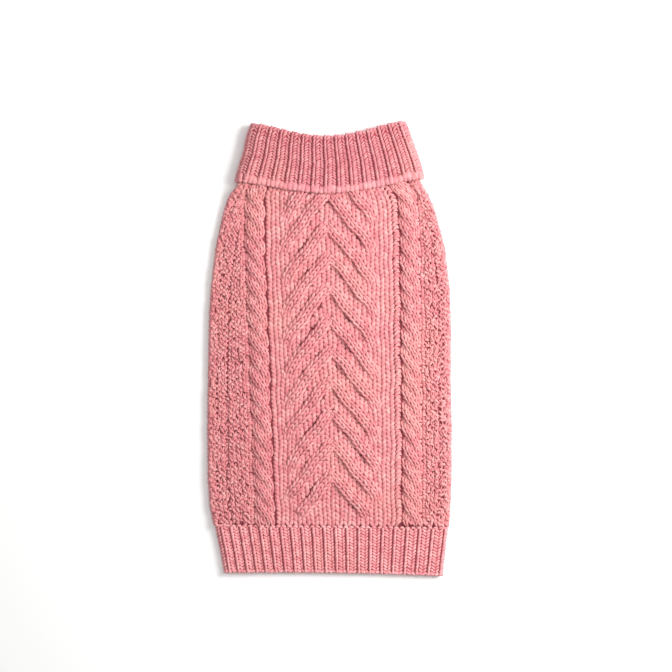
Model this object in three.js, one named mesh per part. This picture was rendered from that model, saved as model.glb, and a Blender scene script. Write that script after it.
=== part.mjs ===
// A small dog's knitted sweater, laid flat on its belly side with the cable-knit back up.
// Millimetres, +Z up: X runs across the garment, +Y towards the collar, Z = 0 is the surface.
// It is a tube of cloth in four knitted pieces: a cabled back panel, a plain belly panel that
// wraps round both sides with two leg openings, a 2x2 rib hem band and a folded rib collar.
import * as THREE from 'three';

// Driving dimensions.
const PANEL_WALL = 3.0;       // thickness of the body knit where no cable is raised
const RIB_WALL = 2.7;         // thickness of the 2x2 rib between its ribs
const SEAM_GAP = 0.3;         // clearance where two pieces meet
const LAID_GAP = 0.8;         // air left between back and belly when laid flat
const BODY_DEPTH = 2 * PANEL_WALL + LAID_GAP;
const COLLAR_DEPTH = BODY_DEPTH + 2 * SEAM_GAP + 2 * RIB_WALL;
const NECK_LIFT = RIB_WALL + SEAM_GAP;   // how far the body rises to enter the collar
const WRAP = 2.4;             // belly cloth seen on top, inside the rounded side

const NECK_Y = 126.0;         // neck seam, under the folded collar
const HEM_Y_LEFT = -132.5;    // where the hem band starts, at the left side
const HEM_Y_RIGHT = -134.5;   // and at the right side
const LOWER_Y_LEFT = -168.0;  // the hem's lower edge at the left side
const LOWER_Y_RIGHT = -170.5;
const LOWER_RISE = 1.25;      // the lower edge curves up by this at its middle
const LIFT_START = 15.5;      // the body leaves the surface this far below the collar's edge
const LIFT_END = 4.5;         // and is fully raised this far below it

const ROPE_HALF = 7.6;        // half the width of a rope cable
const ROPE_PITCH = 13.8;      // length of one rope crossing
const ROPE_SLOPE = 1.15;      // fall of a rope strand per unit across
const ROPE_HEIGHT = 2.3;
const ROPE_DIP = 0.55;        // share of the height lost between two strands
const CHEVRON_PITCH = 23.4;   // spacing of the nested chevron cables down the centre
const CHEVRON_TOP_Y = 93.0;   // apex of the first full chevron
const CHEVRON_LAST = 8;       // turns from the first full chevron to the lowest one
const CHEVRON_REACH = 33.0;   // how far an arm runs from the centre line
const CHEVRON_SLOPE = 1.22;   // fall of an arm per unit across
const CHEVRON_BAND = 13.0;    // height of an arm's raised band, measured down the garment
const CHEVRON_HEIGHT = 2.1;
const CHEVRON_TAPER = 6.0;    // an arm sinks into the plain knit over this length
const GUTTER_WIDTH = 4.6;     // sunken purl strip between a rope and the centre panel
const GUTTER_DEPTH = 0.7;
const COVER_START = 3.2;      // cables flatten between these two distances
const COVER_END = 6.2;        // below the collar's edge
const HEM_FADE = 6.0;         // and over this length above the hem band

const HEM_RIBS = 20;          // ribs across the top of the hem band
const HEM_SPREAD = 0.17;      // ribs are wider spaced towards the right by this share
const COLLAR_RIBS = 13;       // ribs across the top of the collar
const RIB_HEIGHT = 1.0;
const SIDE_RISE = 0.5;        // ribs on the rounded sides stand out by this share

const LEG_HALF_WIDTH = 18.0;  // leg openings in the belly, half sizes
const LEG_HALF_LENGTH = 23.0;
const LEG_X = 43.0;
const LEG_Y = 74.0;
const LEG_POINTS = 28;

// Body outline and the lines the cables follow, a row per level down the garment.
const BODY = [
  { y: 126.0, left: -67.2, right: 68.2, leftRope: -51.0, centre: -1.0, rightRope: 51.8 },
  { y: 121.0, left: -69.2, right: 70.8, leftRope: -53.0, centre: -1.0, rightRope: 54.0 },
  { y: 117.0, left: -72.9, right: 73.8, leftRope: -55.0, centre: -1.0, rightRope: 57.0 },
  { y: 113.0, left: -75.4, right: 75.6, leftRope: -56.0, centre: -0.9, rightRope: 58.8 },
  { y: 109.5, left: -76.8, right: 76.9, leftRope: -56.0, centre: -0.8, rightRope: 59.5 },
  { y: 106.0, left: -77.8, right: 78.5, leftRope: -56.0, centre: -0.8, rightRope: 59.7 },
  { y: 102.0, left: -78.8, right: 79.9, leftRope: -56.0, centre: -0.7, rightRope: 59.9 },
  { y: 96.0, left: -80.3, right: 81.4, leftRope: -56.0, centre: -0.6, rightRope: 60.0 },
  { y: 75.0, left: -84.7, right: 87.0, leftRope: -55.5, centre: -0.2, rightRope: 61.0 },
  { y: 46.0, left: -88.2, right: 90.3, leftRope: -54.8, centre: 0.4, rightRope: 61.3 },
  { y: 20.0, left: -89.6, right: 91.2, leftRope: -53.5, centre: 0.9, rightRope: 61.5 },
  { y: -20.0, left: -90.3, right: 91.0, leftRope: -52.0, centre: 1.7, rightRope: 62.0 },
  { y: -60.0, left: -90.8, right: 91.8, leftRope: -50.5, centre: 2.5, rightRope: 62.4 },
  { y: -98.0, left: -90.4, right: 91.6, leftRope: -49.3, centre: 3.2, rightRope: 62.5 },
  { y: -117.0, left: -89.2, right: 90.7, leftRope: -48.5, centre: 3.5, rightRope: 62.5 },
  { y: -134.0, left: -85.6, right: 89.6, leftRope: -48.0, centre: 3.8, rightRope: 62.5 },
  { y: -150.0, left: -82.3, right: 87.7, leftRope: -47.5, centre: 3.9, rightRope: 62.5 },
  { y: -171.0, left: -78.6, right: 85.2, leftRope: -47.0, centre: 4.0, rightRope: 62.5 },
];

// Collar edges, a row per level from the folded top (fall 0) to the free edge (fall 1).
const COLLAR = [
  { fall: 0.0, left: -57.8, right: 56.5, yLeft: 170.0, yRight: 171.8, sag: 10.0 },
  { fall: 0.25, left: -61.8, right: 61.5, yLeft: 158.7, yRight: 160.0, sag: 10.0 },
  { fall: 0.5, left: -64.0, right: 65.5, yLeft: 147.5, yRight: 149.0, sag: 9.9 },
  { fall: 0.75, left: -67.5, right: 69.0, yLeft: 136.5, yRight: 138.5, sag: 9.7 },
  { fall: 1.0, left: -70.8, right: 71.8, yLeft: 125.0, yRight: 127.5, sag: 9.5 },
];

const COLLAR_BOW = 1.8;       // keeps the collar's ends level and its middle sagging

// Columns of the back panel: offsets from each cable line where points are needed.
const ROPE_COLUMNS = [-1.0, -0.72, -0.36, 0.0, 0.36, 0.72, 1.0];
const CHEVRON_COLUMNS = 9;    // columns of points on each side of the centre line
const BACK_ROW = 3.45;        // spacing of the rows of points down the back panel
const PLAIN_ROW = 16;         // spacing of the rows on plain cloth
const PLAIN_COLUMNS = 6;

// Small helpers.
const mix = (a, b, t) => a + (b - a) * t;
const clamp01 = (t) => Math.min(1, Math.max(0, t));
const ease = (t) => {
  const c = clamp01(t);
  return c * c * (3 - 2 * c);
};

// Reads a named column of a table at a level, straight between its rows.
function readTable(table, key, level, column) {
  const rising = table[1][key] > table[0][key];
  for (let i = 1; i < table.length; i += 1) {
    const inside = rising ? level <= table[i][key] : level >= table[i][key];
    if (inside || i === table.length - 1) {
      const t = (level - table[i - 1][key]) / (table[i][key] - table[i - 1][key]);
      return mix(table[i - 1][column], table[i][column], t);
    }
  }
  return table[0][column];
}
const bodyAt = (y, column) => readTable(BODY, 'y', y, column);
const collarAt = (fall, column) => readTable(COLLAR, 'fall', fall, column);

// The collar's edge at a level of its fall, a shallow bow across the garment.
function collarEdgeY(fall, x) {
  const left = collarAt(fall, 'left');
  const right = collarAt(fall, 'right');
  const t = clamp01((x - left) / (right - left));
  const bow = (4 * t * (1 - t)) ** COLLAR_BOW;
  return mix(collarAt(fall, 'yLeft'), collarAt(fall, 'yRight'), t) - collarAt(fall, 'sag') * bow;
}

// The body is raised where it enters the folded collar.
function neckLift(x, y) {
  const below = collarEdgeY(1, x) - y;
  return NECK_LIFT * ease((LIFT_START - below) / (LIFT_START - LIFT_END));
}

// Relief of the cables and ribs.
function ropeHeight(x, y, line) {
  const across = (x - bodyAt(y, line)) / ROPE_HALF;
  if (Math.abs(across) >= 1) return 0;
  const along = (-y - ROPE_SLOPE * across * ROPE_HALF) / ROPE_PITCH;
  const strand = Math.abs(Math.sin(Math.PI * along));
  const dome = Math.sqrt(1 - across * across);
  return ROPE_HEIGHT * dome * (1 - ROPE_DIP + ROPE_DIP * strand);
}

function chevronHeight(x, y) {
  const across = Math.abs(x - bodyAt(y, 'centre'));
  if (across >= CHEVRON_REACH) return 0;
  const fallen = CHEVRON_TOP_Y - CHEVRON_SLOPE * across - y;
  const turn = Math.round(fallen / CHEVRON_PITCH);
  if (turn > CHEVRON_LAST) return 0;
  const offset = fallen - turn * CHEVRON_PITCH;
  if (Math.abs(offset) > CHEVRON_BAND / 2) return 0;
  const ridge = Math.cos((Math.PI * offset) / CHEVRON_BAND);
  const ends = ease((CHEVRON_REACH - across) / CHEVRON_TAPER);
  return CHEVRON_HEIGHT * ridge * ends;
}

function gutterDepth(x, y, line, side) {
  const middle = bodyAt(y, line) + side * (ROPE_HALF + GUTTER_WIDTH / 2);
  return GUTTER_DEPTH * clamp01(1.6 * (1 - Math.abs(x - middle) / (GUTTER_WIDTH / 2)));
}

function backRelief(x, y) {
  const cables = ropeHeight(x, y, 'leftRope') + ropeHeight(x, y, 'rightRope') + chevronHeight(x, y);
  const gutters = gutterDepth(x, y, 'leftRope', 1) + gutterDepth(x, y, 'rightRope', -1);
  const underCollar = ease((collarEdgeY(1, x) - y - COVER_START) / (COVER_END - COVER_START));
  const atHem = ease((y - hemTop(x)) / HEM_FADE);
  return (cables - gutters) * underCollar * atHem;
}

// A rib is a rounded ridge between two narrow grooves; the count is in whole ribs.
const RIB_STEPS = [
  { part: 0.0, height: 0.0 },
  { part: 0.22, height: 0.8 },
  { part: 0.5, height: 1.0 },
  { part: 0.78, height: 0.8 },
];

// Lines the hem follows.
const sideShare = (x, y) => clamp01((x - bodyAt(y, 'left')) / (bodyAt(y, 'right') - bodyAt(y, 'left')));
const hemTop = (x) => mix(HEM_Y_LEFT, HEM_Y_RIGHT, sideShare(x, HEM_Y_LEFT));
function lowerEdge(x) {
  const t = sideShare(x, LOWER_Y_LEFT);
  return mix(LOWER_Y_LEFT, LOWER_Y_RIGHT, t) + LOWER_RISE * 4 * t * (1 - t);
}

// Cross-sections of the laid tube.
// A place round the tube: 0..1 across the top from left to right, 1..2 round the right side,
// 2..3 back along the underside, 3..4 round the left side.
function tubePoint(place, left, right, low, high) {
  const radius = (high - low) / 2;
  const middle = (high + low) / 2;
  const part = place - Math.floor(place);
  const turn = Math.floor(place) % 4;
  const swing = Math.PI * part;
  if (turn === 0) return { x: mix(left + radius, right - radius, part), z: high, nx: 0, nz: 1 };
  if (turn === 2) return { x: mix(right - radius, left + radius, part), z: low, nx: 0, nz: -1 };
  const side = turn === 1 ? 1 : -1;
  const hub = turn === 1 ? right - radius : left + radius;
  const nx = side * Math.sin(swing);
  const nz = side * Math.cos(swing);
  return { x: hub + radius * nx, z: middle + radius * nz, nx, nz };
}

function bodyPoint(place, y, depth) {
  return tubePoint(place, bodyAt(y, 'left') + depth, bodyAt(y, 'right') - depth,
    depth, BODY_DEPTH - depth);
}

// Building closed walls out of grids of points.
class Wall {
  constructor() {
    this.points = [];
    this.faces = [];
  }

  add(x, y, z) {
    this.points.push(x, y, z);
    return this.points.length / 3 - 1;
  }

  // A row of points; marks, from 0 to 1, say how far round the tube each one stands.
  row(list, marks = null) {
    const ids = list.map((p) => this.add(p[0], p[1], p[2]));
    ids.marks = marks;
    return ids;
  }

  // Joins two rows of points. Rows alike in number pair one to one; others are walked
  // along together, by their marks round the tube or else by length.
  strip(lower, upper, closed) {
    const a = closed ? [...lower, lower[0]] : lower;
    const b = closed ? [...upper, upper[0]] : upper;
    const alike = a.length === b.length;
    const marked = closed && lower.marks && upper.marks;
    const sharesOf = (line, marks) => {
      if (alike) return line.map((_, i) => i / (line.length - 1));
      return marked ? [...marks, 1] : this.shares(line);
    };
    const sa = sharesOf(a, lower.marks);
    const sb = sharesOf(b, upper.marks);
    let i = 0;
    let j = 0;
    while (i < a.length - 1 || j < b.length - 1) {
      const stepA = i < a.length - 1 && (j === b.length - 1 || sa[i + 1] <= sb[j + 1]);
      if (stepA) {
        this.face(a[i], a[i + 1], b[j]);
        i += 1;
      } else {
        this.face(a[i], b[j + 1], b[j]);
        j += 1;
      }
    }
  }

  shares(line) {
    const run = [0];
    for (let i = 1; i < line.length; i += 1) {
      const p = line[i - 1] * 3;
      const q = line[i] * 3;
      const step = Math.hypot(this.points[q] - this.points[p], this.points[q + 1] - this.points[p + 1],
        this.points[q + 2] - this.points[p + 2]);
      run.push(run[i - 1] + step);
    }
    const total = run[run.length - 1];
    return run.map((r) => r / total);
  }

  face(a, b, c) {
    if (a !== b && b !== c && a !== c) this.faces.push(a, b, c);
  }

  // Joins a stack of rows into a skin, leaving out the blocks that openings take.
  skin(rows, closed, blocks = []) {
    for (let i = 1; i < rows.length; i += 1) {
      const open = blocks.filter((b) => i > b.top && i <= b.bottom);
      let from = 0;
      for (const b of open) {
        this.strip(rows[i - 1].slice(from, b.first + 1), rows[i].slice(from, b.first + 1), false);
        from = b.last;
      }
      if (from === 0) this.strip(rows[i - 1], rows[i], closed);
      else this.strip(rows[i - 1].slice(from), rows[i].slice(from), false);
    }
  }

  volume() {
    let six = 0;
    const p = this.points;
    for (let i = 0; i < this.faces.length; i += 3) {
      const [a, b, c] = [this.faces[i] * 3, this.faces[i + 1] * 3, this.faces[i + 2] * 3];
      six += p[a] * (p[b + 1] * p[c + 2] - p[b + 2] * p[c + 1]);
      six -= p[a + 1] * (p[b] * p[c + 2] - p[b + 2] * p[c]);
      six += p[a + 2] * (p[b] * p[c + 1] - p[b + 1] * p[c]);
    }
    return six / 6;
  }

  geometry() {
    if (this.volume() < 0) {
      for (let i = 0; i < this.faces.length; i += 3) {
        const keep = this.faces[i + 1];
        this.faces[i + 1] = this.faces[i + 2];
        this.faces[i + 2] = keep;
      }
    }
    const geometry = new THREE.BufferGeometry();
    geometry.setAttribute('position', new THREE.Float32BufferAttribute(this.points, 3));
    geometry.setIndex(this.faces);
    geometry.computeVertexNormals();
    return geometry;
  }
}

// The four sides of a sheet of rows, in order round it.
function rimOf(rows) {
  const first = rows[0];
  const last = rows[rows.length - 1];
  const ends = rows.slice(1, -1).map((r) => r[r.length - 1]);
  const starts = rows.slice(1, -1).map((r) => r[0]).reverse();
  return {
    low: first,
    right: [first[first.length - 1], ...ends, last[last.length - 1]],
    high: [...last].reverse(),
    left: [last[0], ...starts, first[0]],
  };
}

// Closes an outer sheet and an inner sheet into one wall along their four sides.
function closeSheet(wall, outer, inner, blocks = []) {
  wall.skin(outer, false, blocks);
  const end = inner[0].length - 1;
  const mirrored = blocks.map((b) => ({ ...b, first: end - b.last, last: end - b.first }));
  wall.skin(inner.map((r) => [...r].reverse()), false, mirrored.reverse());
  const a = rimOf(outer);
  const b = rimOf(inner);
  for (const side of ['low', 'right', 'high', 'left']) wall.strip(b[side], a[side], false);
}

function levels(from, to, count) {
  return Array.from({ length: count + 1 }, (_, i) => mix(from, to, i / count));
}

// Levels down the body: every row of the outline table, with more between them as asked.
function bodyLevels(spacing) {
  const between = BODY.map((row) => row.y).filter((y) => y < NECK_Y && y > HEM_Y_LEFT);
  const stops = [NECK_Y, ...between, HEM_Y_LEFT];
  const list = [NECK_Y];
  for (let i = 1; i < stops.length; i += 1) {
    const count = Math.max(1, Math.round((stops[i - 1] - stops[i]) / spacing));
    list.push(...levels(stops[i - 1], stops[i], count).slice(1));
  }
  return list;
}

// How far down the body a level is, and the true height of a point there, whose row
// slants with the hem seam.
const shareAt = (level) => (NECK_Y - level) / (NECK_Y - HEM_Y_LEFT);
const slantedY = (x, level) => mix(NECK_Y, hemTop(x) + SEAM_GAP, shareAt(level));

// Back panel.
// Where the back panel's two side seams lie, on top and just inside the rounded sides.
const seamLeft = (y) => bodyAt(y, 'left') + BODY_DEPTH / 2 + WRAP;
const seamRight = (y) => bodyAt(y, 'right') - BODY_DEPTH / 2 - WRAP;

function backColumns(y) {
  const left = seamLeft(y) + SEAM_GAP / 2;
  const right = seamRight(y) - SEAM_GAP / 2;
  const leftRope = bodyAt(y, 'leftRope');
  const rightRope = bodyAt(y, 'rightRope');
  const centre = bodyAt(y, 'centre');
  const xs = [left, mix(left, leftRope - ROPE_HALF, 0.5)];
  for (const c of ROPE_COLUMNS) xs.push(leftRope + c * ROPE_HALF);
  xs.push(leftRope + ROPE_HALF + GUTTER_WIDTH / 2, leftRope + ROPE_HALF + GUTTER_WIDTH);
  for (let i = -CHEVRON_COLUMNS; i <= CHEVRON_COLUMNS; i += 1) {
    xs.push(centre + (CHEVRON_REACH * i) / CHEVRON_COLUMNS);
  }
  xs.push(rightRope - ROPE_HALF - GUTTER_WIDTH, rightRope - ROPE_HALF - GUTTER_WIDTH / 2);
  for (const c of ROPE_COLUMNS) xs.push(rightRope + c * ROPE_HALF);
  xs.push(mix(right, rightRope + ROPE_HALF, 0.5), right);
  return xs;
}

function backPanel() {
  const wall = new Wall();
  const outer = bodyLevels(BACK_ROW).map((level) => wall.row(backColumns(level).map((x) => {
    const y = slantedY(x, level);
    return [x, y, neckLift(x, level) + BODY_DEPTH + backRelief(x, y)];
  })));
  const inner = bodyLevels(PLAIN_ROW).map((level) => {
    const from = seamLeft(level) + SEAM_GAP / 2;
    const to = seamRight(level) - SEAM_GAP / 2;
    return wall.row(levels(from, to, PLAIN_COLUMNS).map((x) => (
      [x, slantedY(x, level), neckLift(x, level) + BODY_DEPTH - PANEL_WALL])));
  });
  closeSheet(wall, outer, inner);
  return wall.geometry();
}

// Belly panel.
const CAP_STEPS = 6;
// Columns across the underside, as shares from right to left, set so that each leg opening
// lies inside one column; the opening's rows run between two levels.
const UNDER_SHARES = [0.1, 0.385, 0.508, 0.63, 0.91];
const LEG_ROWS = { high: 102.0, low: 33.0 };

// Places round the tube from the right seam, under the belly, to the left seam.
function bellyPlaces() {
  const places = [];
  for (let i = 0; i <= CAP_STEPS; i += 1) places.push(1 + i / CAP_STEPS);
  for (const share of UNDER_SHARES) places.push(2 + share);
  for (let i = 0; i <= CAP_STEPS; i += 1) places.push(3 + i / CAP_STEPS);
  return places;
}

function bellyRow(wall, level, depth) {
  const lifted = (x, z) => [x, slantedY(x, level), z + neckLift(x, level)];
  const list = [lifted(seamRight(level) + SEAM_GAP / 2, BODY_DEPTH - depth)];
  for (const place of bellyPlaces()) {
    const p = bodyPoint(place, level, depth);
    list.push(lifted(p.x, p.z));
  }
  list.push(lifted(seamLeft(level) - SEAM_GAP / 2, BODY_DEPTH - depth));
  return wall.row(list);
}

// One leg opening's edge in one face of the cloth, from its far right corner.
function legLoop(wall, side, z) {
  const list = [];
  for (let i = 0; i < LEG_POINTS; i += 1) {
    const swing = Math.PI / 4 + (2 * Math.PI * i) / LEG_POINTS;
    list.push([side * LEG_X + LEG_HALF_WIDTH * Math.cos(swing), LEG_Y + LEG_HALF_LENGTH * Math.sin(swing), z]);
  }
  return wall.row(list);
}

// The block of cloth points that stands round a leg opening, in order from the same corner.
function blockLoop(rows, block) {
  const { top, bottom, first, last } = block;
  const loop = [];
  for (let j = first; j <= last; j += 1) loop.push(rows[top][j]);
  for (let i = top + 1; i <= bottom; i += 1) loop.push(rows[i][last]);
  for (let j = last - 1; j >= first; j -= 1) loop.push(rows[bottom][j]);
  for (let i = bottom - 1; i > top; i -= 1) loop.push(rows[i][first]);
  return loop;
}

const turned = (loop) => [loop[0], ...loop.slice(1).reverse()];

function bellyPanel() {
  const wall = new Wall();
  const heights = bodyLevels(PLAIN_ROW);
  const outer = heights.map((level) => bellyRow(wall, level, 0));
  const inner = heights.map((level) => bellyRow(wall, level, PANEL_WALL));
  const rightColumn = CAP_STEPS + 2;
  const top = heights.indexOf(LEG_ROWS.high);
  const bottom = heights.indexOf(LEG_ROWS.low);
  const blocks = [
    { side: 1, top, bottom, first: rightColumn, last: rightColumn + 1 },
    { side: -1, top, bottom, first: rightColumn + 3, last: rightColumn + 4 },
  ];
  closeSheet(wall, outer, inner, blocks);
  for (const block of blocks) {
    const below = legLoop(wall, block.side, 0);
    const above = legLoop(wall, block.side, PANEL_WALL);
    wall.strip(blockLoop(outer, block), below, true);
    wall.strip(turned(blockLoop(inner, block)), turned(above), true);
    wall.strip(below, above, true);
  }
  return wall.geometry();
}

// Ribbed bands.
const UNDER_STEPS = 8;

// Places round a band: every rib on top has its own points, the sides fade to a plain underside.
function ribPlaces(ribs, spread, capLength, topLength) {
  const list = [];
  const capRibs = Math.max(1, Math.round((ribs * capLength) / topLength / 2));
  for (let i = 0; i < ribs; i += 1) {
    for (const s of RIB_STEPS) {
      const even = (i + s.part) / ribs;
      list.push({ place: even * (1 - spread + spread * even), rise: s.height });
    }
  }
  for (let i = 0; i < capRibs * 2; i += 1) {
    const fade = i < capRibs ? 1 : 0.4;
    list.push({ place: 1 + i / (capRibs * 2), rise: 0 });
    list.push({ place: 1 + (i + 0.5) / (capRibs * 2), rise: fade });
  }
  for (let i = 0; i < UNDER_STEPS; i += 1) list.push({ place: 2 + i / UNDER_STEPS, rise: 0 });
  for (let i = 0; i < capRibs * 2; i += 1) {
    const fade = i < capRibs ? 0.4 : 1;
    list.push({ place: 3 + i / (capRibs * 2), rise: 0 });
    list.push({ place: 3 + (i + 0.5) / (capRibs * 2), rise: fade });
  }
  return list;
}

function plainPlaces(steps, caps) {
  const list = [];
  for (let turn = 0; turn < 4; turn += 1) {
    const count = turn % 2 === 0 ? steps : caps;
    for (let i = 0; i < count; i += 1) list.push({ place: turn + i / count, rise: 0 });
  }
  return list;
}

const PLAIN_PLACES = plainPlaces(UNDER_STEPS, CAP_STEPS);
const marksOf = (places) => places.map(({ place }) => place / 4);

// Hem band.
const HEM_ROWS = 4;
const HEM_EDGE_RISE = { 0: 0.4, 0.08: 0.9, 0.5: 1, 0.94: 0.9, 1: 0.3 };  // ribs flatten at both edges
const HEM_WIDTH = 170;
const HEM_PLACES = ribPlaces(HEM_RIBS, HEM_SPREAD, Math.PI * BODY_DEPTH / 2, HEM_WIDTH);

function hemRing(wall, share, depth, places) {
  const level = mix(HEM_Y_LEFT, LOWER_Y_LEFT, share);
  return wall.row(places.map(({ place, rise }) => {
    const p = bodyPoint(place, level, depth);
    const y = mix(hemTop(p.x), lowerEdge(p.x), share);
    const up = depth === 0 ? RIB_HEIGHT * rise * HEM_EDGE_RISE[share] : 0;
    return [p.x + up * p.nx * SIDE_RISE, y, p.z + up * Math.max(0, p.nz)];
  }), marksOf(places));
}

function hemBand() {
  const wall = new Wall();
  const outer = [0, 0.08, 0.5, 0.94, 1].map((share) => hemRing(wall, share, 0, HEM_PLACES));
  const inner = levels(1, 0, HEM_ROWS).map((share) => hemRing(wall, share, RIB_WALL, PLAIN_PLACES));
  wall.skin([...outer, ...inner, outer[0]], true);
  return wall.geometry();
}

// Folded collar.
const COLLAR_WIDTH = 125;
const COLLAR_PLACES = ribPlaces(COLLAR_RIBS, 0, Math.PI * COLLAR_DEPTH / 2, COLLAR_WIDTH);
const FOLD_RADIUS = RIB_WALL + SEAM_GAP / 2;
const FOLD_STEPS = 4;
const NECK_FALL = 0.97;       // the neck seam's place in the collar's table of edges
const BORDER_FALL = 0.85;     // ribs end here and the plain cast-off border begins
const BORDER_HEIGHT = 0.35;

// The outer layer hangs from the fold to the free edge.
function outerRing(wall, fall, depth, back, places) {
  return wall.row(places.map(({ place, rise }) => {
    const p = tubePoint(place, collarAt(fall, 'left') + depth, collarAt(fall, 'right') - depth,
      depth, COLLAR_DEPTH - depth);
    const ribbed = depth === 0 ? ease((BORDER_FALL + 0.01 - fall) / 0.05) : 0;
    const border = depth === 0 && place > 0 && place < 1 ? BORDER_HEIGHT * (1 - ribbed) : 0;
    const up = RIB_HEIGHT * rise * ribbed + border;
    return [p.x + up * p.nx * SIDE_RISE, collarEdgeY(fall, p.x) - back, p.z + up * Math.max(0, p.nz)];
  }), marksOf(places));
}

// The inner layer runs from the fold (0) down to the neck seam (1), which is straight.
function innerRing(wall, share, depth) {
  const fall = share * NECK_FALL;
  return wall.row(PLAIN_PLACES.map(({ place }) => {
    const p = tubePoint(place, collarAt(fall, 'left') + depth, collarAt(fall, 'right') - depth,
      depth, COLLAR_DEPTH - depth);
    return [p.x, mix(collarEdgeY(0, p.x), NECK_Y + SEAM_GAP, share), p.z];
  }), marksOf(PLAIN_PLACES));
}

function collar() {
  const wall = new Wall();
  const rings = [1, 0.86, 0.81, 0.5, 0.13].map((fall) => outerRing(wall, fall, 0, 0, COLLAR_PLACES));
  for (let i = 0; i <= FOLD_STEPS; i += 1) {
    const swing = (Math.PI * i) / FOLD_STEPS;
    const depth = FOLD_RADIUS * (1 - Math.cos(swing));
    const back = FOLD_RADIUS * (1 - Math.sin(swing));
    rings.push(outerRing(wall, 0, depth, back, i < 2 ? COLLAR_PLACES : PLAIN_PLACES));
  }
  for (const share of [0.3, 0.6, 1]) rings.push(innerRing(wall, share, 2 * RIB_WALL + SEAM_GAP));
  for (const share of [1, 0.6, 0.3, 0.1]) rings.push(innerRing(wall, share, RIB_WALL + SEAM_GAP));
  for (const fall of [0.1, 0.3, 0.6, 0.86, 1]) rings.push(outerRing(wall, fall, RIB_WALL, 0, PLAIN_PLACES));
  wall.skin([...rings, rings[0]], true);
  return wall.geometry();
}

// The garment.
const YARN_PINK = { color: 0xe8a0a4, roughness: 0.92, metalness: 0.0 };

function piece(name, geometry) {
  const mesh = new THREE.Mesh(geometry, new THREE.MeshStandardMaterial(YARN_PINK));
  mesh.name = name;
  return mesh;
}

const garment = new THREE.Group();
garment.add(piece('back_panel', backPanel()));
garment.add(piece('belly_panel', bellyPanel()));
garment.add(piece('hem_rib', hemBand()));
garment.add(piece('folded_collar', collar()));

// The garment's middle, seen from above, stands on the origin.
const box = new THREE.Box3().setFromObject(garment);
garment.position.set(-(box.min.x + box.max.x) / 2, -(box.min.y + box.max.y) / 2, -box.min.z);

export default garment;
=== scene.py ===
# %% [markdown]
# # A knitted sweater for a small dog, laid flat
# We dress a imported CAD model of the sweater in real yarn. The CAD gives the outline and the
# thickness of the cloth. Here we lay thousands of stitches on it, one loop at a time, because
# a chunky knit is read by its loops: each knit stitch is a V of two plump yarn legs.

# %% The frame
import bpy
import math
import numpy as np
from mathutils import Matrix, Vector


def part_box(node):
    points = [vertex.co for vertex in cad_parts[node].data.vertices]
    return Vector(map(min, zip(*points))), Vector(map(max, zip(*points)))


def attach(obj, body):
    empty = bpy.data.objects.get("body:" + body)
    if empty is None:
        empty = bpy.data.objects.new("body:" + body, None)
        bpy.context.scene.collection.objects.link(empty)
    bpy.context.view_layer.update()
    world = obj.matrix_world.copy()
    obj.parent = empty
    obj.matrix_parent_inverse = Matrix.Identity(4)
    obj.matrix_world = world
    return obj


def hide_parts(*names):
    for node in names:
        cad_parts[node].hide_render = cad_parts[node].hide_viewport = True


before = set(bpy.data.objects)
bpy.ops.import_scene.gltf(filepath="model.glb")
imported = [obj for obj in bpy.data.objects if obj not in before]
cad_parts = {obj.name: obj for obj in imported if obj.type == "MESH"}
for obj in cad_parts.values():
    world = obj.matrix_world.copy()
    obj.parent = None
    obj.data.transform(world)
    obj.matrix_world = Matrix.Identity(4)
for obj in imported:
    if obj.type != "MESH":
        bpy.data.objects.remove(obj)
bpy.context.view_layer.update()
print("nodes in the frame:", sorted(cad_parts))

# %% [markdown]
# ## The sizes of the garment
# The numbers are millimetres on the garment, with x across and y towards the collar. They are
# the same sizes that the CAD part was built from, so the yarn lands on its surface.

# %% Sizes and outline
# The frame is in metres, our sizes in millimetres.
MM = 1000
METRES = 0.001
# Thickness of the body and of the rib, and the gaps at a seam and between laid panels.
PANEL_WALL = 3.0
RIB_WALL = 2.7
SEAM_GAP = 0.3
LAID_GAP = 0.8
# Heights of the laid body and of the laid collar.
BODY_DEPTH = 2 * PANEL_WALL + LAID_GAP
COLLAR_DEPTH = BODY_DEPTH + 2 * SEAM_GAP + 2 * RIB_WALL
# The belly comes up over each side by this much before its seam.
WRAP = 2.4
# The body's ends at the neck and at the hem join, and the garment's lower edge with its slight arch.
NECK_Y = 126.0
HEM_Y_LEFT, HEM_Y_RIGHT = -132.5, -134.5
LOWER_Y_LEFT, LOWER_Y_RIGHT, LOWER_RISE = -168.0, -170.5, 1.25
# Near the neck the body climbs onto the tucked part of the collar, between these distances.
NECK_LIFT = RIB_WALL + SEAM_GAP
LIFT_START, LIFT_END = 15.5, 4.5
# Half a rope's width and the distance between its crossings.
ROPE_HALF, ROPE_PITCH = 7.6, 13.8
# Chevrons: distance from one to the next, the top one's place, the last one's number, and how far
# an arm reaches, how steeply it falls, how wide it is and how high it stands.
CHEVRON_PITCH, CHEVRON_TOP_Y, CHEVRON_LAST = 23.4, 93.0, 8
CHEVRON_REACH, CHEVRON_SLOPE, CHEVRON_BAND, CHEVRON_HEIGHT = 33.0, 1.22, 13.0, 2.1
# The collar's cloth turns over at its fold with this radius.
FOLD_RADIUS = RIB_WALL + SEAM_GAP / 2
# The oval leg openings in the belly.
LEG_X, LEG_Y, LEG_HALF_WIDTH, LEG_HALF_LENGTH = 43.0, 74.0, 18.0, 23.0

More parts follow.
